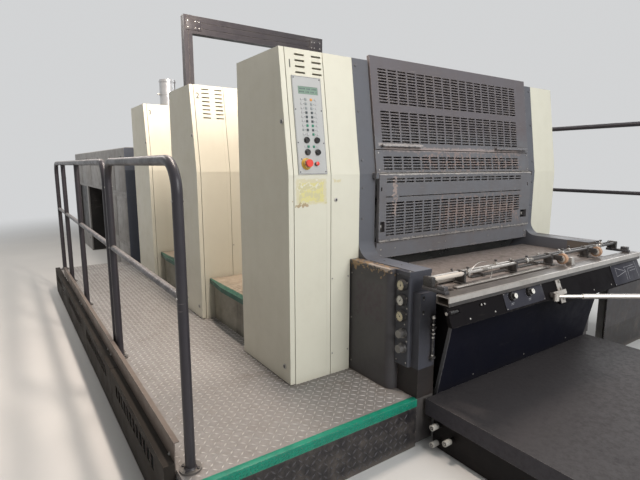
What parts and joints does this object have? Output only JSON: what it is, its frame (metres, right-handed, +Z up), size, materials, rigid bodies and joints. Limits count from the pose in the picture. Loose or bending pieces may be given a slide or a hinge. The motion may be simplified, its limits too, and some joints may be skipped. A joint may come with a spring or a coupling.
{
  "type": "offset printing press",
  "caption": "Sheet-fed offset printing press: printing units with slotted guards, infeed table with platform, galleries with railings, and a delivery.",
  "frame": {"origin": "centre of the whole press at floor level", "axes": "+X along the press towards the infeed, +Y from the operating side across to the drive side, +Z up"},
  "size_m": [9.6956, 4.145, 3.05],
  "materials": {
    "light_paint": "worn cream powder coat",
    "gray_paint": "worn blue-gray paint",
    "guard_paint": "worn blue-gray paint with scuffs",
    "dark_paint": "satin dark gray paint",
    "navy_paint": "satin near-black navy paint",
    "black_paint": "satin black-brown paint",
    "rail_paint": "dark purple-gray paint",
    "delivery_paint": "gray paint",
    "tread_plate": "worn diamond plate",
    "step_plate": "worn gray tread",
    "cast_iron": "machined casting",
    "roller_steel": "ground cylinder",
    "roller_rubber": "ink roller rubber",
    "bright_steel": "bright steel",
    "duct_steel": "galvanised sheet",
    "table_steel": "dusty steel",
    "panel_plate": "pale membrane plate",
    "key_plastic": "keys",
    "black_plastic": "buttons",
    "red_plastic": "mushroom head",
    "white_plastic": "knobs",
    "dial": "dials and regulators",
    "wheel_fibre": "brown fibre wheel",
    "pallet_wood": "pile board"
  },
  "bodies": {
    "press": {"machine_bed": "cast_iron", "gallery_deck": "tread_plate", "toe_board": "delivery_paint", "gallery_skirt": "delivery_paint", "railing_1": "rail_paint", "railing_2": "rail_paint", "far_deck": "tread_plate", "far_railing": "rail_paint", "tower_1": "light_paint", "tower_2": "light_paint", "tower_3": "light_paint", "frame_covers": "light_paint", "far_towers": "light_paint", "unit_frame_1": "gray_paint", "unit_frame_2": "gray_paint", "unit_frame_3": "gray_paint", "unit_roofs": "gray_paint", "unit_steps": "step_plate", "control_panel": "panel_plate", "panel_keys": "key_plastic", "panel_buttons": "black_plastic", "guard_middle": "guard_paint", "guard_sill": "guard_paint", "inner_guards": "guard_paint", "rear_guards": "guard_paint", "print_cylinders": "roller_steel", "ink_rollers": "roller_rubber", "side_cabinet_near": "dark_paint", "side_cabinet_far": "dark_paint", "gauge_box": "gray_paint", "gauges": "dial", "infeed_frame": "dark_paint", "feed_table": "table_steel", "table_rail": "bright_steel", "table_fascia": "black_paint", "hold_down_bars": "bright_steel", "swing_tube": "bright_steel", "front_cover": "navy_paint", "platform": "tread_plate", "platform_beams": "dark_paint", "gantry": "rail_paint", "exhaust_stub": "duct_steel", "delivery_front": "delivery_paint", "delivery_head": "delivery_paint", "delivery_end": "delivery_paint", "delivery_pile_board": "pallet_wood"},
    "guard_upper": {"guard_upper": "guard_paint"},
    "guard_lower": {"guard_lower": "guard_paint"},
    "door_1": {"door_1": "light_paint"},
    "door_2": {"door_2": "light_paint"},
    "door_3": {"door_3": "light_paint"},
    "estop": {"estop_button": "red_plastic"},
    "knob_1": {"knob_1": "white_plastic"},
    "knob_2": {"knob_2": "white_plastic"},
    "wheel_1": {"wheel_1": "wheel_fibre"},
    "wheel_2": {"wheel_2": "wheel_fibre"}
  },
  "joints": [
    {"name": "door_1_swing", "type": "hinge", "parent": "press", "child": "door_1", "pos_m": [2.7372, -1.2575, 1.2], "axis": [0, 0, -1], "range_deg": [0, 110]},
    {"name": "door_2_swing", "type": "hinge", "parent": "press", "child": "door_2", "pos_m": [1.3672, -1.2575, 1.2], "axis": [0, 0, -1], "range_deg": [0, 110]},
    {"name": "door_3_swing", "type": "hinge", "parent": "press", "child": "door_3", "pos_m": [-0.0028, -1.2575, 1.2], "axis": [0, 0, -1], "range_deg": [0, 110]},
    {"name": "guard_upper_swing", "type": "hinge", "parent": "press", "child": "guard_upper", "pos_m": [3.24825, 0.105, 2.05728], "axis": [0, -1, 0], "range_deg": [0, 85]},
    {"name": "guard_lower_swing", "type": "hinge", "parent": "press", "child": "guard_lower", "pos_m": [3.3692, 0.105, 1.43], "axis": [0, -1, 0], "range_deg": [0, 100]},
    {"name": "estop_press", "type": "slide", "parent": "press", "child": "estop", "axis": [-0.9907, 0, -0.1361], "range_m": [0, 0.004], "stiffness_N_per_m": 800},
    {"name": "knob_1_turn", "type": "hinge", "parent": "press", "child": "knob_1", "pos_m": [4.04021, -0.3155, 0.79829], "axis": [0.9239, 0, 0.3827], "range_deg": [-140, 140]},
    {"name": "knob_2_turn", "type": "hinge", "parent": "press", "child": "knob_2", "pos_m": [4.04021, -0.1555, 0.79829], "axis": [0.9239, 0, 0.3827], "range_deg": [-140, 140]},
    {"name": "wheel_1_spin", "type": "hinge", "parent": "press", "child": "wheel_1", "pos_m": [3.9582, 0.3375, 0.915], "axis": [0, 1, 0], "continuous": true},
    {"name": "wheel_2_spin", "type": "hinge", "parent": "press", "child": "wheel_2", "pos_m": [3.9582, 0.7725, 0.915], "axis": [0, 1, 0], "continuous": true}
  ]
}
